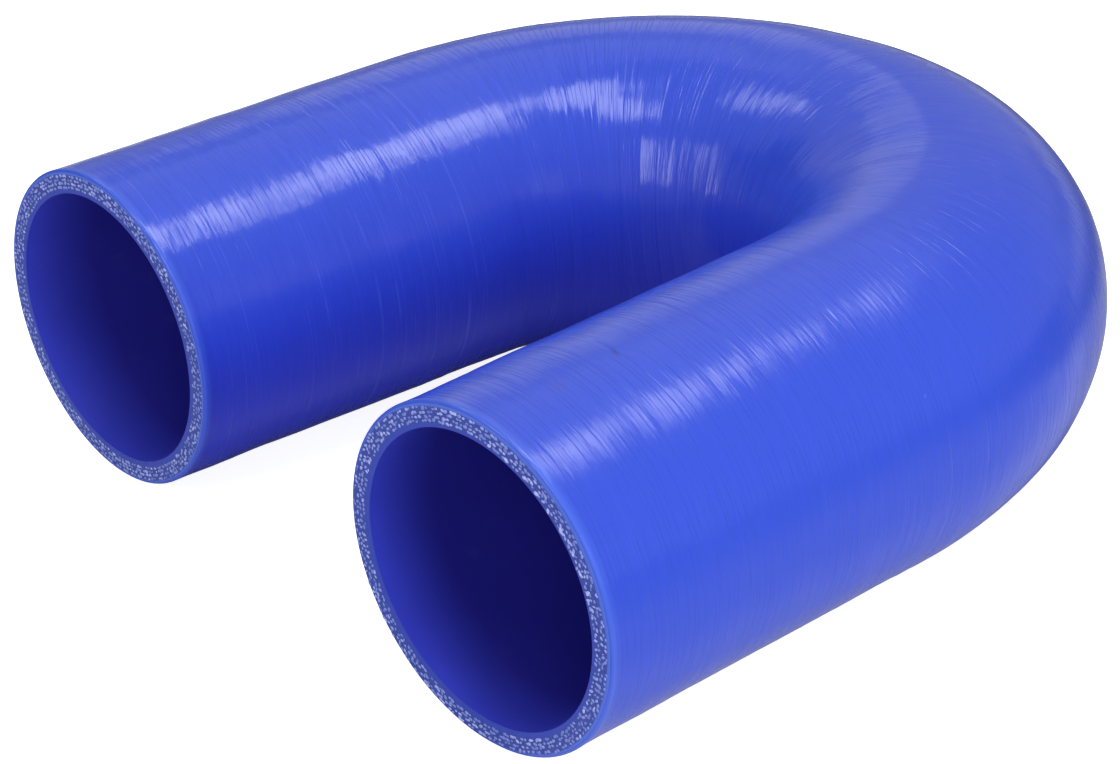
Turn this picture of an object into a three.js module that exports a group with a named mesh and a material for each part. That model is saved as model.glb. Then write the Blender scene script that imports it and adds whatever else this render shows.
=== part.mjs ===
// A reinforced silicone hose, moulded in one piece as a U: two straight legs joined by a round bend.
// Millimetres, +Z up. The hose lies on its side on the plane z = 0 with both legs open towards -Y.
// The back leg is on the -X side and the front leg on the +X side. The origin is on that plane,
// under the middle of the hose's bounding box.
import * as THREE from 'three';

// Section and route.
const boreDiameter = 57;
const wallThickness = 5;
const bendRadius = 63.5; // of the centreline
const backLegLength = 80; // straight stretch, from the bend to the middle of the cut
const frontLegLength = 87;

// Degrees that each leg has sprung open from parallel since it left its mandrel.
const legSplay = 2.7;

// Degrees that each end is cut off square. A positive skew leaves the side that faces
// the other leg longer, and a positive lean turns the cut face upwards.
const backCutSkew = -5.5;
const backCutLean = 1;
const frontCutSkew = 2.5;
const frontCutLean = 0.5;

// Rounding of the outer edge of each cut. The edge of the bore is sharp.
const lipRadius = 0.6;

// Creases that the wrapping tape leaves where it gathers on the inside of the bend.
const pleatCount = 26;
const pleatDepth = 0.3;

// Fineness of the faceted surface. With a multiple of four sides, a flat side is underneath.
const sectionSides = 52;
const lipSteps = 3;

const boreRadius = boreDiameter / 2;
const outerRadius = boreRadius + wallThickness;
const halfBend = THREE.MathUtils.degToRad(90 - legSplay);
const up = new THREE.Vector3(0, 0, 1);

// A place on the centreline of the bend. The angle is 0 at the far point of the U and grows towards
// the front leg; forward runs from the back leg to the front leg.
function bendStation(angle) {
  const sine = Math.sin(angle);
  const cosine = Math.cos(angle);
  return {
    centre: new THREE.Vector3(bendRadius * sine, bendRadius * cosine, 0),
    forward: new THREE.Vector3(cosine, -sine, 0),
    inward: new THREE.Vector3(-sine, -cosine, 0),
  };
}

// The middle of a leg's cut end, with the direction that the leg points in.
function endStation(angle, legLength, skewDegrees, leanDegrees) {
  const start = bendStation(angle);
  const outward = start.forward.clone().multiplyScalar(Math.sign(angle));
  return {
    centre: start.centre.clone().addScaledVector(outward, legLength),
    outward,
    inward: start.inward,
    skew: Math.tan(THREE.MathUtils.degToRad(skewDegrees)),
    lean: Math.tan(THREE.MathUtils.degToRad(leanDegrees)),
  };
}

// One ring of points round the centreline. The flat sides, not the corners, lie at the radius.
// placePoint may move a point, given its direction from the centreline and how far it faces
// the inside of the U, from -1 to 1.
function ring(station, radius, placePoint) {
  const points = [];
  const cornerRadius = radius / Math.cos(Math.PI / sectionSides);
  for (let side = 0; side < sectionSides; side += 1) {
    const angle = (2 * Math.PI * (side + 0.5)) / sectionSides;
    const facing = Math.cos(angle);
    const direction = station.inward
      .clone()
      .multiplyScalar(facing)
      .addScaledVector(up, Math.sin(angle));
    const point = station.centre.clone().addScaledVector(direction, cornerRadius);
    placePoint(point, direction, facing, cornerRadius);
    points.push(point);
  }
  return points;
}

// A ring in the plane of a skewed cut, or set back from it by a given distance.
function endRing(station, radius, setBack) {
  return ring(station, radius, (point, direction, facing, cornerRadius) => {
    const slope = station.skew * facing - station.lean * direction.z;
    point.addScaledVector(station.outward, slope * cornerRadius - setBack);
  });
}

// A ring in the bend, drawn in by the pleat's depth where it faces the inside of the U.
function bendRing(station, radius, depth) {
  return ring(station, radius, (point, direction, facing) => {
    point.addScaledVector(direction, -depth * Math.max(0, facing) ** 2);
  });
}

// The rounded outer edge of a cut, from the cut face to the outside of the leg.
function lipRings(station) {
  const rings = [];
  for (let step = 0; step <= lipSteps; step += 1) {
    const turn = (Math.PI / 2) * (step / lipSteps);
    const radius = outerRadius - lipRadius * (1 - Math.sin(turn));
    rings.push(endRing(station, radius, lipRadius * (1 - Math.cos(turn))));
  }
  return rings;
}

// The rings run along the outside from the back end to the front end, and home through the bore.
function hoseRings() {
  const backEnd = endStation(-halfBend, backLegLength, backCutSkew, backCutLean);
  const frontEnd = endStation(halfBend, frontLegLength, frontCutSkew, frontCutLean);
  const outside = [];
  const bore = [];
  for (let step = 0; step <= 2 * pleatCount; step += 1) {
    const station = bendStation(halfBend * (step / pleatCount - 1));
    const inCrease = step % 2 === 1;
    outside.push(bendRing(station, outerRadius, inCrease ? pleatDepth : 0));
    if (!inCrease) bore.push(bendRing(station, boreRadius, 0));
  }
  return [
    ...lipRings(backEnd),
    ...outside,
    ...lipRings(frontEnd).reverse(),
    endRing(frontEnd, boreRadius, 0),
    ...bore.reverse(),
    endRing(backEnd, boreRadius, 0),
  ];
}

// Joins each ring to the next, and the last to the first, as one closed skin.
function skin(rings) {
  const positions = rings.flat().flatMap((point) => point.toArray());
  const indices = [];
  rings.forEach((unused, row) => {
    const here = row * sectionSides;
    const next = ((row + 1) % rings.length) * sectionSides;
    for (let side = 0; side < sectionSides; side += 1) {
      const beside = (side + 1) % sectionSides;
      indices.push(here + side, next + side, next + beside);
      indices.push(here + side, next + beside, here + beside);
    }
  });
  const geometry = new THREE.BufferGeometry();
  geometry.setAttribute('position', new THREE.Float32BufferAttribute(positions, 3));
  geometry.setIndex(indices);
  geometry.computeVertexNormals();
  return geometry;
}

function makeHose() {
  const geometry = skin(hoseRings());
  const silicone = new THREE.MeshStandardMaterial({ color: 0x2a3fd6, roughness: 0.35, metalness: 0 });
  const hose = new THREE.Mesh(geometry, silicone);
  hose.name = 'hose';
  geometry.computeBoundingBox();
  const box = geometry.boundingBox;
  hose.position.set(-(box.min.x + box.max.x) / 2, -(box.min.y + box.max.y) / 2, -box.min.z);
  return hose;
}

const part = new THREE.Group();
part.add(makeHose());

export default part;
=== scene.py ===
"""A reinforced silicone hose, moulded in one piece as a U, lying on a pale floor.

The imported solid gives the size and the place. This script gives the hose its surface: the fine
turns of the wrapping tape, the gathers inside the bend, the cut ends with their rows of yarn,
and the materials, lights and camera.
"""
import math

import bpy
import numpy as np
from mathutils import Matrix, Vector


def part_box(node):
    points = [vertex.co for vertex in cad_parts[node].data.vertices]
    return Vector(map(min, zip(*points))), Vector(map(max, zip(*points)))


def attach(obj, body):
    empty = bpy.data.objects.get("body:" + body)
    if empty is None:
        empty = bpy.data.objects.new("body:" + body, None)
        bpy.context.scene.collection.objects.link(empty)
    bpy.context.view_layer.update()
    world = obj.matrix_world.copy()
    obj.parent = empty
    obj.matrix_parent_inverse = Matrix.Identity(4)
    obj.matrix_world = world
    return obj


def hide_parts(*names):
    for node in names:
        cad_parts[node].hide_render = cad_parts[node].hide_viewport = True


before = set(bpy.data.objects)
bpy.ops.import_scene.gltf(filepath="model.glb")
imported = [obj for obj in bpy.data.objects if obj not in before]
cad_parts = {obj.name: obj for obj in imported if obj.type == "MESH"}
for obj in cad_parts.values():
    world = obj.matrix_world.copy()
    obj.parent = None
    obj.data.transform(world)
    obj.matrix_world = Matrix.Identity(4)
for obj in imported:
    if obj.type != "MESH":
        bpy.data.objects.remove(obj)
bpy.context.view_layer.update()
scene = bpy.context.scene

# The hose, in millimetres and degrees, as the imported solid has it.
BORE_RADIUS = 28.5
OUTER_RADIUS = 33.5
BEND_RADIUS = 63.5
BACK_LEG = 80.0
FRONT_LEG = 87.0
LEG_SPLAY = math.radians(2.7)
HALF_BEND = math.pi / 2 - LEG_SPLAY
BEND_LENGTH = 2 * HALF_BEND * BEND_RADIUS
BACK_CUT = {"skew": math.tan(math.radians(-5.5)), "lean": math.tan(math.radians(1.0))}
FRONT_CUT = {"skew": math.tan(math.radians(2.5)), "lean": math.tan(math.radians(0.5))}
# How far the plies lie off the middle of each end, in mm, and towards which angle they lie inward.
BACK_PLIES = {"by": 0.15, "toward": math.radians(60)}
FRONT_PLIES = {"by": 0.55, "toward": math.radians(146)}
LIP_RADIUS = 0.6
PLEATS = 26
MM = 0.001

# The middle of the bend's circle. The far side of the bend touches the solid's +Y face, and the
# middle of the bend is on the line that the solid's box is centred on, but for the difference
# between its legs, in mm.
LEGS_OFF_CENTRE = -0.054
low_corner, high_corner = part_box("hose")
BEND_CENTRE = Vector((
    LEGS_OFF_CENTRE * MM,
    high_corner.y - (BEND_RADIUS + OUTER_RADIUS) * MM,
    low_corner.z + OUTER_RADIUS * MM,
))

# Positions along the hose's path, in mm from the bend's start. The rows of points turn from
# square to the cut's plane over the blend's length.
PATH_START = -BACK_LEG
PATH_END = BEND_LENGTH + FRONT_LEG
CUT_BLEND = 16.0

# Fineness of the visual mesh. The shares are where each turn of the tape has rows of points.
COLUMNS = 128
BORE_ROWS = 90
FACE_RINGS = 8
LIP_STEPS = 5
TURN_SHARES = (0.0, 0.25, 0.5, 0.75)
ANGLES = np.arange(COLUMNS) * 2 * math.pi / COLUMNS

# Relief of the cover, in millimetres. Nothing stands proud of the solid.
MEAN_SURFACE = OUTER_RADIUS - 0.14
END_RADIUS = OUTER_RADIUS - 0.03
END_FLARE = 5.0
TAPE_PITCH = 2.6
TAPE_WIDTHS = (0.55, 1.45)
TAPE_LIFT = 0.004
TAPE_TWIST = 0.024
TWIST_TERMS = (5, 14)
WAVINESS = 0.09
# Each wave's length along the hose, its number of waves round it, and the height of them all.
WAVES = ((95, 1), (62, 2), (41, 3), (33, 2), (24, 4), (17, 3))
WAVE_HEIGHT = 0.45
# Gathers inside the bend. Their depth varies between two shares. They start from a share of it at
# the bend's ends, grow from there by the slope of one over the reach, and go a little past the side.
GATHER_DEPTH = 0.05
GATHER_DEPTHS = (0.1, 1.5)
GATHER_AT_ENDS = 0.4
GATHER_REACH = 25.0
GATHER_PAST_SIDE = 0.25
GATHER_FALL = 1.6
PLEAT_DEPTH = 0.055
SOFT_LIMIT = 0.03

random = np.random.default_rng(4)


# Route of the hose

def station(along):
    """Centre, forward and inward directions at path positions, in mm, from the bend's start."""
    along = np.asarray(along, float)
    turn = np.clip(along / BEND_RADIUS, 0, 2 * HALF_BEND) - HALF_BEND
    past = along - (turn + HALF_BEND) * BEND_RADIUS
    zero = np.zeros_like(turn)
    forward = np.stack([np.cos(turn), -np.sin(turn), zero], -1)
    inward = np.stack([-np.sin(turn), -np.cos(turn), zero], -1)
    centre = -BEND_RADIUS * inward + past[..., None] * forward
    return centre, forward, inward


def hose_points(along, angle, radius):
    """Points at path positions, angles from the inside of the U upwards, and radii, in metres."""
    centre, forward, inward = station(along)
    up = np.array([0.0, 0.0, 1.0])
    spoke = np.cos(angle)[..., None] * inward + np.sin(angle)[..., None] * up
    return (centre + np.asarray(radius)[..., None] * spoke) * MM + np.array(BEND_CENTRE)


def straight_place(along, angle, radius):
    """Where a point would be if the hose were straight: the space that its textures live in."""
    along, angle, radius = np.broadcast_arrays(along, angle, radius)
    return np.stack([along, radius * np.cos(angle), radius * np.sin(angle)], -1)


def cut_shift(cut, angle, radius):
    """How far a cut's plane lies beyond the middle of the cut, away from the bend."""
    return radius * (cut["skew"] * np.cos(angle) - cut["lean"] * np.sin(angle))


def cut_middle(is_back):
    """The path position of a cut's middle, and which way along the path faces outward there."""
    return (PATH_START, -1) if is_back else (PATH_END, 1)


def from_cut_middle(rows):
    """How far each row is from the middle of the nearer cut, as a column of values."""
    return np.minimum(rows - PATH_START, PATH_END - rows)[:, None]


def lean_rows(along, radius):
    """Path positions of each row's points: square in the bend, in the cut's plane at each end."""
    along = np.asarray(along, float)[:, None]
    back = np.clip(1 - (along - PATH_START) / CUT_BLEND, 0, 1)
    front = np.clip(1 - (PATH_END - along) / CUT_BLEND, 0, 1)
    back_shift = -back * cut_shift(BACK_CUT, ANGLES, radius)
    front_shift = front * cut_shift(FRONT_CUT, ANGLES, radius)
    return along + back_shift + front_shift


# Relief of the cover

def tape_edges():
    """Path positions of the edges of the tape's turns, from end to end."""
    count = round((PATH_END - PATH_START) / TAPE_PITCH)
    widths = random.uniform(*TAPE_WIDTHS, count)
    edges = np.concatenate([[0.0], np.cumsum(widths)])
    return PATH_START + edges / edges[-1] * (PATH_END - PATH_START)


def ripple(angle, rows, low_term, high_term):
    """A smooth random wave round the hose for each row, about -1 to 1."""
    total = np.zeros_like(angle)
    for term in range(low_term, high_term + 1):
        phase = random.uniform(0, 2 * math.pi, rows.max() + 1)
        weight = random.normal(0, 1 / math.sqrt(term), rows.max() + 1)
        total += weight[rows] * np.cos(term * angle + phase[rows])
    return total


def waviness(along, angle):
    """Slow unevenness along and round the hose, about -1 to 1."""
    total = np.zeros_like(along)
    for wavelength, turns in WAVES:
        phase = random.uniform(0, 2 * math.pi, 2)
        wave = np.sin(2 * math.pi * along / wavelength + phase[0])
        total += wave * np.cos(turns * angle + phase[1]) * WAVE_HEIGHT
    return total


def cover_relief(along, angle, edges):
    """Height of the cover over its mean surface, in mm."""
    turn = np.clip(np.searchsorted(edges, along, side="right") - 1, 0, len(edges) - 2)
    start, end = edges[turn], edges[turn + 1]
    across = (along - start) / (end - start)
    crown = np.sin(math.pi * across) ** 2
    lift = random.normal(0, 1, len(edges))[turn]
    depth = random.uniform(*GATHER_DEPTHS, len(edges))[turn]
    body = TAPE_LIFT * lift + TAPE_TWIST * ripple(angle, turn, *TWIST_TERMS)

    into_bend = np.minimum(along, BEND_LENGTH - along)
    bent = np.clip(into_bend / GATHER_REACH + GATHER_AT_ENDS, 0, 1)
    inside = np.clip((np.cos(angle) + GATHER_PAST_SIDE) / (1 + GATHER_PAST_SIDE), 0, 1)
    facing = inside ** GATHER_FALL * bent
    gather = GATHER_DEPTH * facing * depth * (1 - crown)
    in_pleat = np.cos(math.pi * along / (BEND_LENGTH / PLEATS)) ** 2
    inside_bend = (along > 0) & (along < BEND_LENGTH)
    pleat = PLEAT_DEPTH * facing * in_pleat ** 2 * inside_bend
    return body * crown - gather - pleat + WAVINESS * waviness(along, angle)


# Meshes

def ring_faces(rows, columns):
    """Quads between successive rings of points, the last ring and the first, facing outwards."""
    row = np.arange(rows)[:, None]
    column = np.arange(columns)[None, :]
    next_row = (row + 1) % rows
    beside = (column + 1) % columns
    quads = np.stack([
        row * columns + column,
        next_row * columns + column,
        next_row * columns + beside,
        row * columns + beside,
    ], -1)
    return quads.reshape(-1, 4)


def add_mesh(name, points, faces, materials, material_of_face=None, smooth=True):
    mesh = bpy.data.meshes.new(name)
    mesh.from_pydata(points.tolist(), [], [list(map(int, face)) for face in faces])
    for material in materials:
        mesh.materials.append(material)
    if material_of_face is not None:
        mesh.polygons.foreach_set("material_index", np.asarray(material_of_face, np.int32))
    mesh.polygons.foreach_set("use_smooth", np.full(len(faces), smooth))
    mesh.update()
    piece = bpy.data.objects.new(name, mesh)
    scene.collection.objects.link(piece)
    return piece


def add_card(name, corners, material):
    """A flat piece with four corners."""
    return add_mesh(name, np.array(corners), [(0, 1, 2, 3)], [material], smooth=False)


def store_vectors(piece, name, vectors):
    stored = piece.data.attributes.new(name, "FLOAT_VECTOR", "POINT")
    stored.data.foreach_set("vector", np.asarray(vectors, np.float32).ravel())


def store_values(piece, name, values):
    stored = piece.data.attributes.new(name, "FLOAT", "POINT")
    stored.data.foreach_set("value", np.asarray(values, np.float32).ravel())


def mark_sharp(piece, rows):
    """Make the edges that run along these rows of points sharp."""
    sharp = np.zeros(len(piece.data.edges), bool)
    ends = np.empty(len(piece.data.edges) * 2, np.int32)
    piece.data.edges.foreach_get("vertices", ends)
    ends = ends.reshape(-1, 2) // COLUMNS
    for row in rows:
        sharp |= (ends[:, 0] == row) & (ends[:, 1] == row)
    stored = piece.data.attributes.new("sharp_edge", "BOOLEAN", "EDGE")
    stored.data.foreach_set("value", sharp)


# The skin of the hose

def end_rings(cut, is_back):
    """Rings of one end from the bore's edge over the cut face to the rounded outer edge."""
    middle, outward = cut_middle(is_back)
    rings = []
    for radius in np.linspace(BORE_RADIUS, END_RADIUS - LIP_RADIUS, FACE_RINGS):
        rings.append((radius, 0.0))
    for step in range(1, LIP_STEPS):
        turn = math.pi / 2 * step / LIP_STEPS
        rings.append((
            END_RADIUS - LIP_RADIUS * (1 - math.sin(turn)),
            LIP_RADIUS * (1 - math.cos(turn)),
        ))
    along = []
    radii = []
    for radius, set_back in rings:
        shift = cut_shift(cut, ANGLES, radius) - set_back
        along.append(middle + outward * shift)
        radii.append(np.full(COLUMNS, radius))
    return np.array(along), np.array(radii)


def cover_rows(edges):
    """Path positions of the cover's rows of points: some in each turn of the tape."""
    widths = np.diff(edges)
    rows = np.sort(np.concatenate([edges[:-1] + widths * share for share in TURN_SHARES]))
    inside_lips = (rows > PATH_START + LIP_RADIUS) & (rows < PATH_END - LIP_RADIUS)
    return np.concatenate([
        [PATH_START + LIP_RADIUS], rows[inside_lips], [PATH_END - LIP_RADIUS],
    ])


def cover_radius(rows, along, edges):
    """Radius of the cover's points: its relief, flared to each end's edge, inside the solid."""
    angle = np.broadcast_to(ANGLES, (len(rows), COLUMNS))
    surface = MEAN_SURFACE + cover_relief(along, angle, edges)
    flare = np.clip(1 - (from_cut_middle(rows) - LIP_RADIUS) / END_FLARE, 0, 1) ** 2
    room = OUTER_RADIUS - (surface * (1 - flare) + END_RADIUS * flare)
    return OUTER_RADIUS - (room + np.hypot(room, SOFT_LIMIT)) / 2


def wall_layer(along, angle, radius):
    """Share of the outer radius that a point lies at, measured from the middle of its plies."""
    return np.where(
        along < BEND_LENGTH / 2,
        radius + BACK_PLIES["by"] * np.cos(angle - BACK_PLIES["toward"]),
        radius + FRONT_PLIES["by"] * np.cos(angle - FRONT_PLIES["toward"]),
    ) / OUTER_RADIUS


def hose_piece(cover, cut_face, liner):
    """The skin as one closed mesh: back face, cover, front face, and back through the bore."""
    edges = tape_edges()
    rows = cover_rows(edges)
    outer_along = lean_rows(rows, END_RADIUS)
    outer_radius = cover_radius(rows, outer_along, edges)
    back_along, back_radius = end_rings(BACK_CUT, True)
    front_along, front_radius = end_rings(FRONT_CUT, False)
    bore_rows = np.linspace(PATH_END, PATH_START, BORE_ROWS)[1:-1]
    bore_along = lean_rows(bore_rows, BORE_RADIUS)
    bore_radius = np.full(bore_along.shape, BORE_RADIUS)

    along = np.concatenate([back_along, outer_along, front_along[::-1], bore_along])
    radius = np.concatenate([back_radius, outer_radius, front_radius[::-1], bore_radius])
    angle = np.broadcast_to(ANGLES, along.shape)
    points = hose_points(along, angle, radius).reshape(-1, 3)
    faces = ring_faces(len(along), COLUMNS)

    cover_start = len(back_along)
    cover_end = cover_start + len(outer_along)
    bore_start = cover_end + len(front_along)
    # Which of the three materials each row of faces has.
    kind = np.zeros(len(along), int)
    kind[: FACE_RINGS - 1] = 1
    kind[bore_start - FACE_RINGS: bore_start - 1] = 1
    kind[bore_start - 1:] = 2
    piece = add_mesh(
        "hose_skin", points, faces, [cover, cut_face, liner], np.repeat(kind, COLUMNS)
    )
    from_cut = np.zeros(along.shape)
    from_cut[cover_start: cover_end] = from_cut_middle(rows)
    from_cut[bore_start:] = from_cut_middle(bore_rows)
    store_vectors(piece, "straight", straight_place(along, angle, radius).reshape(-1, 3))
    store_values(piece, "from_cut", from_cut)
    store_values(piece, "layer", wall_layer(along, angle, radius))
    mark_sharp(piece, (0, bore_start - 1))
    return piece


# Yarn ends on the cut faces. Each row's radius is a share of the outer radius. Lengths are in mm,
# and the sizes, shades and spacing are shares.
YARN_ROWS = (0.960, 0.937, 0.914, 0.891)
YARN_ENDS_PER_ROW = 78
END_STRAY = 0.09
ROW_STRAY = 0.05
END_SHADES = (0.1, 1)
STRANDS_PER_END = 2
STRAND_LENGTH = 1.08
STRAND_WIDTH = 0.68
STRAND_HEIGHT = 0.13
STRAND_SPACING = 0.85
STRAND_STRAY = 0.14
STRAND_SIZES = (0.6, 1.1)
STRAND_SHADES = (0.35, 1.15)
# How far a strand strays out of its row and tilts where the cut follows the knit's rows, and how
# much more where it crosses them. Strands are also smaller there.
STRAND_OUT_OF_ROW = (0.05, 0.10)
STRAND_TILT = (0.25, 0.6)
STRAND_SHRINK = 0.15
KNIT_TURN = 1.5
# Where the innermost ply lies bare at the edge of the front bore, and its frayed tufts.
TUFT_ARC = (math.radians(104), math.radians(172))
TUFTS = 10
TUFT_RADIUS = BORE_RADIUS + 0.75
TUFT_STRAY = (0.02, 0.12)
TUFT_SIZE = 1.15
TUFT_SIZES = (0.6, 1.15)
TUFT_TILT = 0.5
TUFT_SHADES = (0.8, 1.2)
BEAD_SIDES = 8
BEAD_RINGS = 4


def bead():
    """A small rounded bead of unit size: points and faces."""
    points = [(0.0, 0.0, 1.0)]
    for ring in range(1, BEAD_RINGS):
        tilt = math.pi * ring / BEAD_RINGS
        for side in range(BEAD_SIDES):
            turn = 2 * math.pi * side / BEAD_SIDES
            points.append((
                math.sin(tilt) * math.cos(turn), math.sin(tilt) * math.sin(turn), math.cos(tilt)
            ))
    points.append((0.0, 0.0, -1.0))
    last = len(points) - 1
    base = last - BEAD_SIDES
    faces = []
    for side in range(BEAD_SIDES):
        beside = (side + 1) % BEAD_SIDES
        faces.append((0, 1 + side, 1 + beside))
        for ring in range(BEAD_RINGS - 2):
            here = 1 + ring * BEAD_SIDES
            below = here + BEAD_SIDES
            faces.append((here + side, below + side, below + beside, here + beside))
        faces.append((base + side, last, base + beside))
    return np.array(points), faces


def layer_radius(share, angle, off_centre):
    """Radius of a layer of the wall, given as its share of the outer radius."""
    return OUTER_RADIUS * share - off_centre["by"] * np.cos(angle - off_centre["toward"])


def yarn_ends(off_centre):
    """Angle, radius, size, tilt and shade of every strand in one face's rows of yarn ends."""
    strands = []
    phase = random.uniform(0, 1)
    for row, share in enumerate(YARN_ROWS):
        for end in range(YARN_ENDS_PER_ROW):
            step = end + phase + 0.5 * (row % 2) + random.normal(0, END_STRAY)
            angle = 2 * math.pi * step / YARN_ENDS_PER_ROW
            radius = layer_radius(share, angle, off_centre) + random.normal(0, ROW_STRAY)
            # The cut follows the knit's rows at the top and bottom, and crosses them at the sides.
            along_row = abs(math.sin(angle)) ** KNIT_TURN
            crossing = 1 - along_row
            shade = random.uniform(*END_SHADES)
            for strand in range(STRANDS_PER_END):
                middle = (strand - 0.5) * STRAND_LENGTH * STRAND_SPACING
                offset = middle + random.normal(0, STRAND_STRAY)
                stray = random.normal(0, STRAND_OUT_OF_ROW[0] + STRAND_OUT_OF_ROW[1] * crossing)
                shrunk = 1 - STRAND_SHRINK + STRAND_SHRINK * along_row
                size = random.uniform(*STRAND_SIZES) * shrunk
                tilt = random.normal(0, STRAND_TILT[0] + STRAND_TILT[1] * crossing)
                own_shade = shade * random.uniform(*STRAND_SHADES)
                strands.append((angle + offset / radius, radius + stray, size, tilt, own_shade))
    return strands


def tufts():
    """Bigger strands along the arc where the front end's innermost ply lies bare."""
    strands = []
    for angle in np.linspace(*TUFT_ARC, TUFTS):
        angle += random.normal(0, TUFT_STRAY[0])
        radius = TUFT_RADIUS + random.normal(0, TUFT_STRAY[1])
        size = TUFT_SIZE * random.uniform(*TUFT_SIZES)
        tilt = random.normal(0, TUFT_TILT)
        strands.append((angle, radius, size, tilt, random.uniform(*TUFT_SHADES)))
    return strands


def yarn_piece(name, cut, strands, is_back, material):
    """Cut strands of yarn on one face, as beads that stand a little out of the silicone."""
    unit, unit_faces = bead()
    middle, outward = cut_middle(is_back)
    points = []
    faces = []
    shades = []
    for angle, radius, size, tilt, shade in strands:
        round_offset = STRAND_LENGTH * size / 2 * unit[:, 0]
        radial_offset = STRAND_WIDTH * size / 2 * unit[:, 1]
        around = round_offset * math.cos(tilt) - radial_offset * math.sin(tilt)
        at_radius = radius + round_offset * math.sin(tilt) + radial_offset * math.cos(tilt)
        at_angle = angle + around / radius
        shift = cut_shift(cut, at_angle, at_radius) + STRAND_HEIGHT * size * unit[:, 2]
        base = len(points) * len(unit)
        points.append(hose_points(middle + outward * shift, at_angle, at_radius))
        for face in unit_faces:
            corners = [base + corner for corner in face]
            faces.append(corners if outward > 0 else corners[::-1])
        shades.append(np.full(len(unit), shade))
    piece = add_mesh(name, np.concatenate(points), faces, [material])
    store_values(piece, "shade", np.concatenate(shades))
    return piece


# Materials

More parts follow.
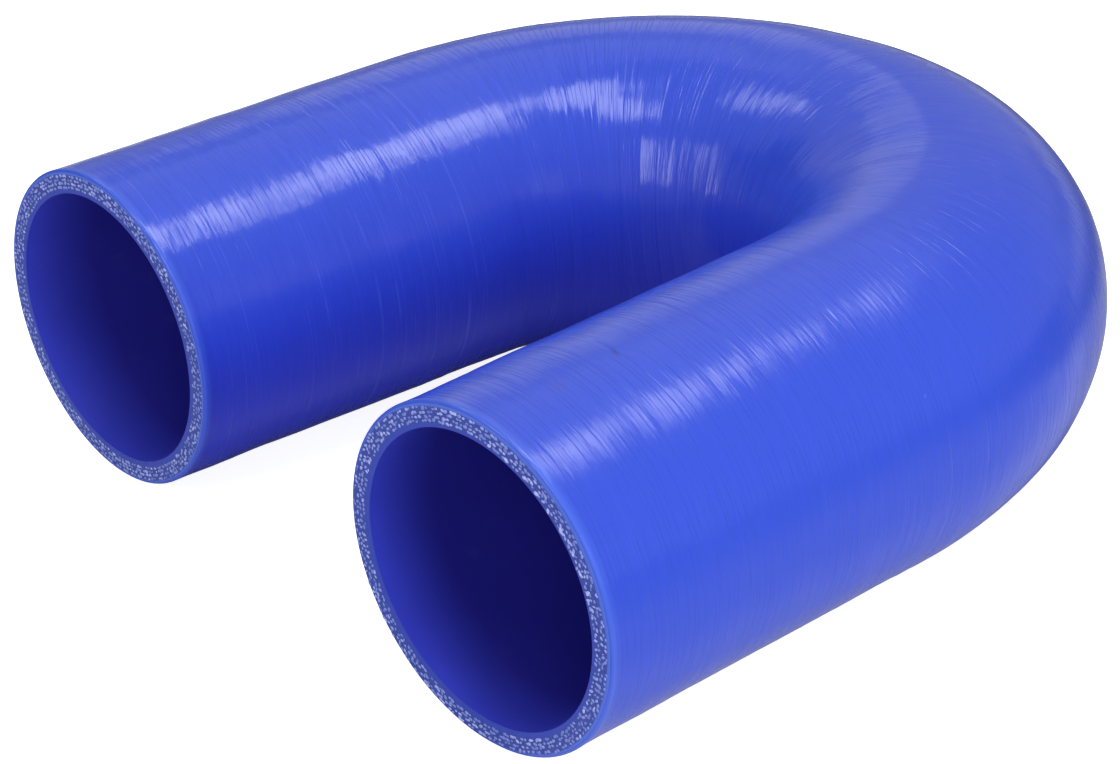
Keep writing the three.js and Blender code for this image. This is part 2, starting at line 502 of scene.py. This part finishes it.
class Nodes:
    """A material's nodes, made and joined in short lines."""

    def __init__(self, name):
        self.material = bpy.data.materials.new(name)
        self.material.use_nodes = True
        self.tree = self.material.node_tree
        self.shader = self.tree.nodes["Principled BSDF"]

    def add(self, kind, **values):
        node = self.tree.nodes.new(kind)
        for key, value in values.items():
            setattr(node, key, value)
        return node

    def link(self, output, target):
        self.tree.links.new(output, target)

    def fill(self, target, value):
        """Give a socket its value: another node's output, a colour or a number."""
        if isinstance(value, bpy.types.NodeSocket):
            self.link(value, target)
        elif isinstance(value, tuple):
            target.default_value = (*value, 1.0)
        else:
            target.default_value = value

    def give(self, values):
        """Give sockets of the material's shader their values, by the sockets' names."""
        for name, value in values.items():
            self.fill(self.shader.inputs[name], value)

    def stored(self, name):
        """A value that the mesh stores at its points."""
        return self.add("ShaderNodeAttribute", attribute_name=name).outputs["Fac"]

    def place(self, scale, offset=(0, 0, 0)):
        """The straightened hose's space, stretched to a texture's scale."""
        source = self.add("ShaderNodeAttribute", attribute_name="straight")
        mapping = self.add("ShaderNodeMapping")
        mapping.inputs["Scale"].default_value = scale
        mapping.inputs["Location"].default_value = offset
        self.link(source.outputs["Vector"], mapping.inputs["Vector"])
        return mapping.outputs["Vector"]

    def noise(self, vector, detail, roughness=0.5):
        node = self.add("ShaderNodeTexNoise")
        node.inputs["Scale"].default_value = 1.0
        node.inputs["Detail"].default_value = detail
        node.inputs["Roughness"].default_value = roughness
        self.link(vector, node.inputs["Vector"])
        return node.outputs["Fac"]

    def ramp(self, value, low, high, low_result=0.0, high_result=1.0):
        """A value that runs straight from one result to the other between two limits."""
        node = self.add("ShaderNodeMapRange")
        node.inputs["From Min"].default_value = low
        node.inputs["From Max"].default_value = high
        node.inputs["To Min"].default_value = low_result
        node.inputs["To Max"].default_value = high_result
        self.link(value, node.inputs["Value"])
        return node.outputs["Result"]

    def curve(self, value, span, stops):
        """A value that runs straight from stop to stop, each given as its place and its result."""
        node = self.add("ShaderNodeValToRGB")
        self.link(self.ramp(value, *span), node.inputs["Fac"])
        line = node.color_ramp
        for count, (place, result) in enumerate(stops):
            at = (place - span[0]) / (span[1] - span[0])
            stop = line.elements[0] if count == 0 else line.elements.new(at)
            stop.position = at
            stop.color = (result, result, result, 1.0)
        line.elements.remove(line.elements[-1])
        return node.outputs["Color"]

    def mix(self, factor, first, second):
        """The first colour where the factor is zero and the second where it is one."""
        node = self.add("ShaderNodeMix", data_type="RGBA")
        self.fill(node.inputs[0], factor)
        self.fill(node.inputs[6], first)
        self.fill(node.inputs[7], second)
        return node.outputs[2]

    def calculate(self, operation, first, second=0.0):
        node = self.add("ShaderNodeMath", operation=operation)
        self.fill(node.inputs[0], first)
        self.fill(node.inputs[1], second)
        return node.outputs[0]

    def sum(self, first, second):
        return self.calculate("ADD", first, second)

    def difference(self, first, second):
        return self.calculate("SUBTRACT", first, second)

    def product(self, first, second):
        return self.calculate("MULTIPLY", first, second)

    def greater(self, first, second):
        return self.calculate("MAXIMUM", first, second)

    def parts(self, vector):
        node = self.add("ShaderNodeSeparateXYZ")
        self.link(vector, node.inputs[0])
        return node.outputs

    def band_noise(self, band, place, scale, seed):
        """Noise that runs smoothly round the hose but starts afresh with each band."""
        around = self.parts(place)
        vector = self.add("ShaderNodeCombineXYZ")
        self.link(self.sum(self.product(band, BAND_STRIDE), seed), vector.inputs[0])
        self.link(self.product(around["Y"], scale), vector.inputs[1])
        self.link(self.product(around["Z"], scale), vector.inputs[2])
        return self.noise(vector.outputs[0], detail=1.0)

    def mark(self, along, around, length, width, turn):
        """One in the middle of a mark on the cover, and nothing past its half length and width."""
        around = math.radians(around)
        turn = math.radians(turn)
        upright = Vector((0, math.cos(around), math.sin(around)))
        sideways = Vector((0, -math.sin(around), math.cos(around)))
        forward = Vector((1, 0, 0))
        long_side = forward * math.cos(turn) + sideways * math.sin(turn)
        short_side = upright.cross(long_side)
        source = self.add("ShaderNodeAttribute", attribute_name="straight")
        mapping = self.add("ShaderNodeMapping", vector_type="TEXTURE")
        mapping.inputs["Location"].default_value = upright * OUTER_RADIUS + forward * along
        turned = Matrix((long_side, short_side, upright)).transposed()
        mapping.inputs["Rotation"].default_value = turned.to_euler()
        mapping.inputs["Scale"].default_value = (length, width, MARK_DEPTH)
        self.link(source.outputs["Vector"], mapping.inputs["Vector"])
        distance = self.add("ShaderNodeVectorMath", operation="LENGTH")
        self.link(mapping.outputs["Vector"], distance.inputs[0])
        return self.ramp(distance.outputs["Value"], MARK_CORE, 1.0, 1.0, 0.0)

    def bump(self, height, distance):
        node = self.add("ShaderNodeBump")
        node.inputs["Strength"].default_value = 1.0
        node.inputs["Distance"].default_value = distance
        self.link(height, node.inputs["Height"])
        self.link(node.outputs["Normal"], self.shader.inputs["Normal"])


# Bands of the cover that the tape's turns leave. Widths and heights are in mm, and the wobble and
# the edge are shares of a band. Each noise has its scale round the hose and a seed, and shows from
# its first level and in full from its second.
BAND_WIDTH = 1.1
BAND_WOBBLE = 2.2
WOBBLE_SCALE = (0.9, 0.004, 0.004)
BAND_EDGE = 0.16
BAND_STRIDE = 7.3
BAND_NOISE = (0.16, 0.0)
GROOVE_NOISE = (0.06, 31.7)
GROOVE_SHOWS = (0.34, 0.50)
HAIRLINE_NOISE = (0.11, 77.1)
HAIRLINE_SHOWS = (0.32, 0.56)
BAND_STEP = 0.115
GROOVE_DEPTH = 0.05
TEETH_HEIGHT = 0.03
TEETH_SCALE = (1.8, 0.16, 0.16)
TEETH_OFFSET = (0, 20, 9)
# The cover grows duller and more combed along the hose, between these two places: its roughness at
# each, and how much higher the teeth grow. Patches of it are duller still.
DULL_FROM = (120, 200)
COVER_ROUGHNESS = (0.12, 0.17)
PATCH_ROUGHNESS = 0.05
PATCH_SCALE = (0.05, 0.06, 0.06)
PATCH_OFFSET = (7, 3, 5)
PATCH_SHOWS = (0.35, 0.65)
TEETH_GROW = 1.7

# Painted shade: where the cover turns from its painted shaded blue to its common one, by how far it
# faces up and by how far outward it lies, in mm. Its undersides and the inside of the U are darker.
PAINTED_SHADE_FACING = (-0.3, 0.7)
PAINTED_SHADE_OUTWARD = (8, -15)
# How strong the pale lines are at two places along the hose, and the painted highlight along the
# rounded edge at two distances from a cut: both places in mm, then the strength at each.
LINES_FADE = (20, 120, 0.42, 0.10)
END_EDGE_HIGHLIGHT = (0.4, 2.3, 0.5, 0.0)
# How strongly the grooves take the painted shade.
GROOVE_PAINTED_SHADE = 0.12
COVER_BLUE = (0.031, 0.0725, 0.57)
# The blue of the painted shade.
COVER_PAINTED_SHADE = (0.020, 0.034, 0.575)
COVER_LINE = (0.085, 0.145, 0.70)
# The blue of the painted highlight along the rounded edge of each end.
EDGE_HIGHLIGHT_BLUE = (0.075, 0.155, 0.70)

# Chance marks on the cover: how far along, how far round, half length and width, turn, strength
# and colour. They are in mm and degrees, and a turn of 90 degrees lies round the hose. A mark is
# even in its core, a share of it, and reaches this deep into the wall.
SMUDGE_DARK = (0.022, 0.038, 0.22)
SMUDGE_DULL = (0.060, 0.062, 0.36)
SCRATCH_PALE = (0.17, 0.24, 0.95)
MARKS = (
    (248.9, 96.5, 2.1, 0.6, 80, 0.65, SMUDGE_DARK),
    (263.1, 99.5, 2.3, 1.6, -14, 0.36, SMUDGE_DULL),
    (209.1, 119.2, 2.3, 0.28, 90, 0.85, SCRATCH_PALE),
    (200.8, 154.5, 0.6, 0.3, 60, 0.25, SCRATCH_PALE),
)
MARK_CORE = 0.25
MARK_DEPTH = 3.0


def tape_bands(nodes, place, along):
    """Height of the cover's bands, and how much of a groove and a pale line is at their edges."""
    wobble = nodes.noise(nodes.place(WOBBLE_SCALE), detail=1)
    spread = nodes.sum(nodes.product(along, 1 / BAND_WIDTH), nodes.product(wobble, BAND_WOBBLE))
    band = nodes.calculate("FLOOR", spread)
    across = nodes.difference(spread, band)
    here = nodes.band_noise(band, place, *BAND_NOISE)
    after = nodes.band_noise(nodes.sum(band, 1), place, *BAND_NOISE)
    blend = nodes.ramp(across, 1 - BAND_EDGE, 1.0)
    step = nodes.sum(nodes.product(here, nodes.difference(1, blend)), nodes.product(after, blend))
    from_edge = nodes.calculate("ABSOLUTE", nodes.difference(across, 1 - BAND_EDGE / 2))
    edge = nodes.ramp(from_edge, 0.0, BAND_EDGE / 2, 1.0, 0.0)
    groove = nodes.ramp(nodes.band_noise(band, place, *GROOVE_NOISE), *GROOVE_SHOWS)
    hairline = nodes.ramp(nodes.band_noise(band, place, *HAIRLINE_NOISE), *HAIRLINE_SHOWS)
    return step, nodes.product(edge, groove), nodes.product(edge, hairline)


def cover_colour(nodes, place, along, groove, hairline):
    """The cover's blue, with painted shade underneath and inside the U, its pale lines, a painted
    highlight along its ends, painted shade in its grooves, and chance marks.
    """
    normal = nodes.add("ShaderNodeNewGeometry").outputs["Normal"]
    # Painted shade: undersides and the inside of the U take the darker blue.
    painted_light_up = nodes.ramp(nodes.parts(normal)["Z"], *PAINTED_SHADE_FACING)
    painted_light_outward = nodes.ramp(nodes.parts(place)["Y"], *PAINTED_SHADE_OUTWARD)
    colour = nodes.mix(nodes.greater(painted_light_up, painted_light_outward), COVER_PAINTED_SHADE, COVER_BLUE)
    fewer = nodes.ramp(along, *LINES_FADE)
    colour = nodes.mix(nodes.product(hairline, fewer), colour, COVER_LINE)
    # Painted highlight along the rounded edge of each end.
    colour = nodes.mix(nodes.ramp(nodes.stored("from_cut"), *END_EDGE_HIGHLIGHT), colour, EDGE_HIGHLIGHT_BLUE)
    # Painted shade in the tape's grooves.
    colour = nodes.mix(nodes.product(groove, GROOVE_PAINTED_SHADE), colour, COVER_PAINTED_SHADE)
    for *shape, strength, mark_colour in MARKS:
        colour = nodes.mix(nodes.product(nodes.mark(*shape), strength), colour, mark_colour)
    return colour


def cover_material():
    nodes = Nodes("silicone_cover")
    place = nodes.place((1, 1, 1))
    along = nodes.parts(place)["X"]
    step, groove, hairline = tape_bands(nodes, place, along)
    patch = nodes.noise(nodes.place(PATCH_SCALE, PATCH_OFFSET), detail=3)
    dulled = nodes.ramp(along, *DULL_FROM, *COVER_ROUGHNESS)
    nodes.give({
        "Base Color": cover_colour(nodes, place, along, groove, hairline),
        "Roughness": nodes.sum(dulled, nodes.ramp(patch, *PATCH_SHOWS, 0.0, PATCH_ROUGHNESS)),
    })
    teeth = nodes.noise(nodes.place(TEETH_SCALE, TEETH_OFFSET), detail=2)
    combed = nodes.ramp(along, *DULL_FROM, TEETH_HEIGHT, TEETH_GROW * TEETH_HEIGHT)
    height = nodes.sum(nodes.product(step, BAND_STEP), nodes.product(teeth, combed))
    nodes.bump(nodes.difference(height, nodes.product(groove, GROOVE_DEPTH)), MM)
    return nodes.material


# Layers of the cut face as shares of the outer radius: where the liner ends and the cover begins,
# and how far these borders wander. From where the cover begins, the face takes the painted highlight
# of the rounded edge.
LINER_ENDS = (0.874, 0.882)
COVER_BEGINS = (0.968, 0.974)
BORDER_WANDER = 0.012
FACE_BLUE = (0.036, 0.066, 0.48)
PLY_BLUE = (0.030, 0.055, 0.34)
PLY_LIGHT = (0.060, 0.100, 0.48)
PLY_SCALE = (2.0, 2.2, 2.2)
PLY_LIGHT_SHOWS = (0.35, 0.7)
# Height of the fine grain of the cut face and the liner, in metres.
GRAIN_HEIGHT = 0.00008


def face_material():
    nodes = Nodes("silicone_cut_face")
    grain = nodes.noise(nodes.place(PLY_SCALE), detail=4, roughness=0.65)
    wander = nodes.product(nodes.sum(grain, -0.5), BORDER_WANDER)
    layer = nodes.sum(nodes.stored("layer"), wander)
    plies = nodes.mix(nodes.ramp(grain, *PLY_LIGHT_SHOWS), PLY_BLUE, PLY_LIGHT)
    colour = nodes.mix(nodes.ramp(layer, *LINER_ENDS), FACE_BLUE, plies)
    # Painted highlight of the rounded edge on the face's outer band.
    colour = nodes.mix(nodes.ramp(layer, *COVER_BEGINS), colour, EDGE_HIGHLIGHT_BLUE)
    nodes.give({"Base Color": colour, "Roughness": 0.5})
    nodes.bump(grain, GRAIN_HEIGHT)
    return nodes.material


LINER_BLUE = (0.042, 0.058, 0.62)
LINER_SHADE_AND_CLOUDS = (0.018, 0.017, 0.285)
LINER_DUST = (0.16, 0.16, 0.36)
# How far into the bore its colour begins and ends to deepen as painted shade, in mm.
LINER_PAINTED_SHADE_DEPTH = (1.0, 13.5)
# Broad darker clouds and specks of dust: the scale of their noise, and how strongly they show
# from one level of it to another.
CLOUD_SCALE = (0.05, 0.06, 0.06)
CLOUDS_SHOW = (0.3, 0.7, 0.25, 0.0)
DUST_SCALE = (0.16, 0.2, 0.2)
DUST_OFFSET = (0, 9, 3)
DUST_SHOWS = (0.60, 0.8, 0.0, 0.10)


def liner_material():
    nodes = Nodes("silicone_liner")
    clouds = nodes.noise(nodes.place(CLOUD_SCALE), detail=4)
    dust = nodes.noise(nodes.place(DUST_SCALE, DUST_OFFSET), detail=6, roughness=0.7)
    # Painted shade: the liner grows darker deeper into the bore.
    depth = nodes.ramp(nodes.stored("from_cut"), *LINER_PAINTED_SHADE_DEPTH)
    colour = nodes.mix(depth, LINER_BLUE, LINER_SHADE_AND_CLOUDS)
    colour = nodes.mix(nodes.ramp(clouds, *CLOUDS_SHOW), colour, LINER_SHADE_AND_CLOUDS)
    colour = nodes.mix(nodes.ramp(dust, *DUST_SHOWS), colour, LINER_DUST)
    nodes.give({"Base Color": colour, "Roughness": 0.42})
    nodes.bump(dust, GRAIN_HEIGHT)
    return nodes.material


YARN_WHITE = (0.43, 0.48, 0.90)
YARN_GREY = (0.13, 0.19, 0.60)


def yarn_material():
    nodes = Nodes("yarn_ends")
    shade = nodes.ramp(nodes.stored("shade"), 0.0, 1.0)
    nodes.give({"Base Color": nodes.mix(shade, YARN_GREY, YARN_WHITE), "Roughness": 0.6})
    return nodes.material


# The hose and its yarn

skin = hose_piece(cover_material(), face_material(), liner_material())
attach(skin, "root")
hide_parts("hose")

yarn = yarn_material()
for name, cut, strands, is_back in (
    ("back_yarn_ends", BACK_CUT, yarn_ends(BACK_PLIES), True),
    ("front_yarn_ends", FRONT_CUT, yarn_ends(FRONT_PLIES) + tufts(), False),
):
    ends = yarn_piece(name, cut, strands, is_back, yarn)
    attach(ends, "root")


# Floor, in metres. The lift brings it to white for the camera alone.
FLOOR_HALF = 4.0
FLOOR_GREY = (0.74, 0.74, 0.75)
FLOOR_LIFT = 0.88
# How bright the shine shows the floor at places across the hose: bright between the legs and
# beside the front leg, dim below that leg and farther out. It is dimmer in front of the legs'
# ends and past the bend, by these shares.
BESIDE_SPAN = (-0.06, 0.24)
BESIDE_IN_SHINE = (
    (-0.06, 0.70), (-0.03, 0.62), (0.0, 0.14), (0.06, 0.14), (0.078, 0.62),
    (0.105, 0.74), (0.15, 0.60), (0.19, 0.32), (0.23, 0.17),
)
PAST_ENDS = (-0.125, -0.09, 0.3, 1.0)
PAST_BEND = (0.12, 0.18, 1.0, 0.2)
# The same behind the bend, at places along the legs' direction, and where across it ends.
BEHIND_SPAN = (0.0, 0.60)
BEHIND_IN_SHINE = (
    (0.0, 0.0), (0.035, 0.0), (0.07, 0.58), (0.145, 0.54),
    (0.19, 0.18), (0.24, 0.18), (0.34, 0.43), (0.50, 0.68),
)
BEHIND_UP_TO = (0.10, 0.12, 1.0, 0.0)
# How much brighter still the strip of floor beside the front leg looks in the shine.
STRIP_SPAN = (0.07, 0.13)
STRIP_GLOW = ((0.07, 0.0), (0.082, 0.36), (0.091, 0.36), (0.10, 0.16), (0.12, 0.0))


def floor_in_shine(nodes, across, along):
    """How much of the floor's brightness the shine shows, from none to one."""
    beside = nodes.curve(across, BESIDE_SPAN, BESIDE_IN_SHINE)
    beside = nodes.product(beside, nodes.ramp(along, *PAST_ENDS))
    beside = nodes.product(beside, nodes.ramp(along, *PAST_BEND))
    behind = nodes.curve(along, BEHIND_SPAN, BEHIND_IN_SHINE)
    return nodes.greater(beside, nodes.product(behind, nodes.ramp(across, *BEHIND_UP_TO)))


def floor_material():
    nodes = Nodes("pale_floor")
    path = nodes.add("ShaderNodeLightPath")
    in_shine = path.outputs["Is Glossy Ray"]
    place = nodes.add("ShaderNodeNewGeometry").outputs["Position"]
    across, along, _ = nodes.parts(place)
    lift = nodes.product(path.outputs["Is Camera Ray"], FLOOR_LIFT)
    strip = nodes.product(in_shine, nodes.curve(across, STRIP_SPAN, STRIP_GLOW))
    nodes.give({
        "Base Color": FLOOR_GREY,
        "Roughness": 0.6,
        "Specular IOR Level": 0.2,
        "Emission Color": (1.0, 1.0, 1.0),
        "Emission Strength": nodes.sum(lift, strip),
    })
    dark = nodes.add("ShaderNodeBsdfDiffuse")
    nodes.fill(dark.inputs["Color"], (0.0, 0.0, 0.0))
    dimmed = nodes.difference(1.0, floor_in_shine(nodes, across, along))
    blend = nodes.add("ShaderNodeMixShader")
    nodes.link(nodes.product(in_shine, dimmed), blend.inputs[0])
    nodes.link(nodes.shader.outputs[0], blend.inputs[1])
    nodes.link(dark.outputs[0], blend.inputs[2])
    nodes.link(blend.outputs[0], nodes.tree.nodes["Material Output"].inputs["Surface"])
    return nodes.material


def make_floor():
    half = FLOOR_HALF
    corners = ((-half, -half, 0), (half, -half, 0), (half, half, 0), (-half, half, 0))
    floor = add_card("floor", corners, floor_material())


make_floor()


# Light. The sky is white to the camera, and has these strengths in the shine and elsewhere. The
# lamps' heights and the flags' distance are in metres.
DOME_SHINE = 0.39
DOME_LIGHT = 0.18
FLAG_DISTANCE = 1.7
WATTS_PER_RADIANCE = 4
OVERHEAD = 1.41
HIGH_GLOW = 1.45
LEFT_BOX_HEIGHT = 1.43


def light_world():
    world = bpy.data.worlds.new("studio")
    world.use_nodes = True
    scene.world = world
    tree = world.node_tree
    background = tree.nodes["Background"]
    background.inputs["Color"].default_value = (1.0, 1.0, 1.0, 1.0)
    path = tree.nodes.new("ShaderNodeLightPath")
    seen = tree.nodes.new("ShaderNodeMath")
    seen.operation = "MULTIPLY_ADD"
    seen.inputs[1].default_value = 1.0 - DOME_LIGHT
    seen.inputs[2].default_value = DOME_LIGHT
    tree.links.new(path.outputs["Is Camera Ray"], seen.inputs[0])
    shine = tree.nodes.new("ShaderNodeMath")
    shine.operation = "MULTIPLY_ADD"
    shine.inputs[1].default_value = DOME_SHINE - DOME_LIGHT
    tree.links.new(path.outputs["Is Glossy Ray"], shine.inputs[0])
    tree.links.new(seen.outputs[0], shine.inputs[2])
    tree.links.new(shine.outputs[0], background.inputs["Strength"])


def add_softbox(name, place, size, radiance, long_side, level=False, in_shine=True):
    """A rectangular lamp of even radiance, in metres, that faces the hose or straight down."""
    lamp = bpy.data.lights.new(name, "AREA")
    lamp.shape = "RECTANGLE"
    lamp.size, lamp.size_y = size
    lamp.energy = WATTS_PER_RADIANCE * size[0] * size[1] * radiance
    holder = bpy.data.objects.new(name, lamp)
    scene.collection.objects.link(holder)
    holder.visible_glossy = in_shine
    place = Vector(place)
    back = Vector((0, 0, 1)) if level else (place - BEND_CENTRE).normalized()
    tall = Vector(long_side)
    tall = (tall - tall.dot(back) * back).normalized()
    turn = Matrix((tall.cross(back), tall, back)).transposed().to_4x4()
    holder.matrix_world = Matrix.Translation(place) @ turn


def toward(azimuth, elevation, distance):
    """A place in a direction from the hose, in degrees and metres."""
    azimuth, elevation = math.radians(azimuth), math.radians(elevation)
    level = math.cos(elevation) * distance
    return (level * math.cos(azimuth), level * math.sin(azimuth), math.sin(elevation) * distance)


def add_flag(name, azimuth, elevation, half_wide, half_tall, radiance):
    """A dark card in a direction from the hose, which shows only in its shine."""
    nodes = Nodes(name)
    nodes.give({
        "Base Color": (0.0, 0.0, 0.0),
        "Specular IOR Level": 0.0,
        "Emission Color": (1.0, 1.0, 1.0),
        "Emission Strength": radiance,
    })
    place = Vector(toward(azimuth, elevation, FLAG_DISTANCE))
    back = (place - BEND_CENTRE).normalized()
    wide = Vector((0, 0, 1)).cross(back).normalized()
    tall = back.cross(wide)
    corners = [
        place + wide * x * half_wide + tall * y * half_tall
        for x, y in ((-1, -1), (1, -1), (1, 1), (-1, 1))
    ]
    flag = add_card(name, corners, nodes.material)
    flag.visible_camera = False
    flag.visible_diffuse = False
    flag.visible_shadow = False


def add_lamps():
    """Lamps high up that face straight down, and lamps at the sides that face the hose."""
    ahead = (0, 1, 0)
    up = (0, 0, 1)
    for name, across, along, height, size, radiance, long_side in (
        ("overhead_side_softbox", 0.450, 0.568, OVERHEAD, (0.52, 0.095), 5.6, ahead),
        ("overhead_step_softbox", 0.250, 0.630, OVERHEAD, (0.41, 0.060), 5.0, ahead),
        ("overhead_waist_softbox", 0.195, 0.695, OVERHEAD, (0.31, 0.090), 4.9, ahead),
        ("overhead_back_softbox", 0.315, 0.800, OVERHEAD, (0.55, 0.135), 4.9, ahead),
        ("overhead_tip_softbox", 0.235, 0.922, OVERHEAD, (0.17, 0.110), 4.4, ahead),
        ("overhead_stem_softbox", 0.205, 0.360, OVERHEAD, (0.11, 0.260), 3.7, ahead),
        ("overhead_front_softbox", 0.163, -0.21, OVERHEAD, (0.37, 0.93), 4.3, (-0.05, 1, 0)),
        ("overhead_left_softbox", -0.105, -0.03, OVERHEAD, (0.17, 0.30), 3.6, ahead),
        ("wide_glow", -0.60, 0.90, HIGH_GLOW, (1.5, 1.2), 0.29, ahead),
        ("back_left_glow", -0.62, 0.98, HIGH_GLOW, (1.0, 0.7), 0.24, ahead),
    ):
        add_softbox(name, (across, along, height), size, radiance, long_side, level=True)
    add_softbox("rim_glow", toward(145, 21.5, 1.6), (0.45, 0.56), 0.30, up)
    add_softbox(
        "left_softbox", (-1.20, -0.24, LEFT_BOX_HEIGHT), (0.26, 0.92), 2.6, (0.72, -0.70, 0),
        level=True,
    )
    add_softbox("front_right_strip", toward(-77, 32, 1.5), (0.22, 0.75), 4.2, up)
    add_softbox("front_left_strip", toward(-111, 25, 1.5), (0.13, 0.8), 4.2, up)
    for name, place, size, radiance in (
        ("right_softbox", toward(5, 18, 1.3), (0.7, 0.6), 5.2),
        ("front_fill", toward(-45, 18, 1.4), (0.8, 0.6), 2.8),
        ("back_fill", toward(145, 35, 1.6), (1.2, 0.9), 1.45),
    ):
        add_softbox(name, place, size, radiance, up, in_shine=False)


light_world()
add_lamps()
add_flag("left_flag", 203, 16, 0.66, 0.48, 0.0)
add_flag("low_flag", 149, 2.6, 0.40, 0.13, 0.25)
add_flag("right_flag", 106, 2.6, 0.32, 0.14, 0.22)


# Camera, at the photograph's viewing angle. Its distance and what it looks at, measured from the
# middle of the bend, are in mm.
CAMERA_AZIMUTH = math.radians(54.53)
CAMERA_ELEVATION = math.radians(27.12)
CAMERA_ROLL = math.radians(-5.27)
CAMERA_DISTANCE = 672.4
CAMERA_AIM = (18.88, -28.08, 0.0)
FOCAL_PIXELS = 3535.1
PHOTO_WIDTH = 1120
SENSOR_WIDTH = 36.0


def add_camera():
    data = bpy.data.cameras.new("camera")
    data.sensor_width = SENSOR_WIDTH
    data.lens = FOCAL_PIXELS / PHOTO_WIDTH * SENSOR_WIDTH
    camera = bpy.data.objects.new("camera", data)
    scene.collection.objects.link(camera)
    backward = Vector((
        math.sin(CAMERA_AZIMUTH) * math.cos(CAMERA_ELEVATION),
        -math.cos(CAMERA_AZIMUTH) * math.cos(CAMERA_ELEVATION),
        math.sin(CAMERA_ELEVATION),
    ))
    level = Vector((math.cos(CAMERA_AZIMUTH), math.sin(CAMERA_AZIMUTH), 0.0))
    upright = backward.cross(level)
    right = math.cos(CAMERA_ROLL) * level + math.sin(CAMERA_ROLL) * upright
    up = -math.sin(CAMERA_ROLL) * level + math.cos(CAMERA_ROLL) * upright
    place = BEND_CENTRE + (Vector(CAMERA_AIM) + backward * CAMERA_DISTANCE) * MM
    turn = Matrix((right, up, backward)).transposed().to_4x4()
    camera.matrix_world = Matrix.Translation(place) @ turn
    scene.camera = camera


add_camera()
scene.view_settings.view_transform = "Standard"
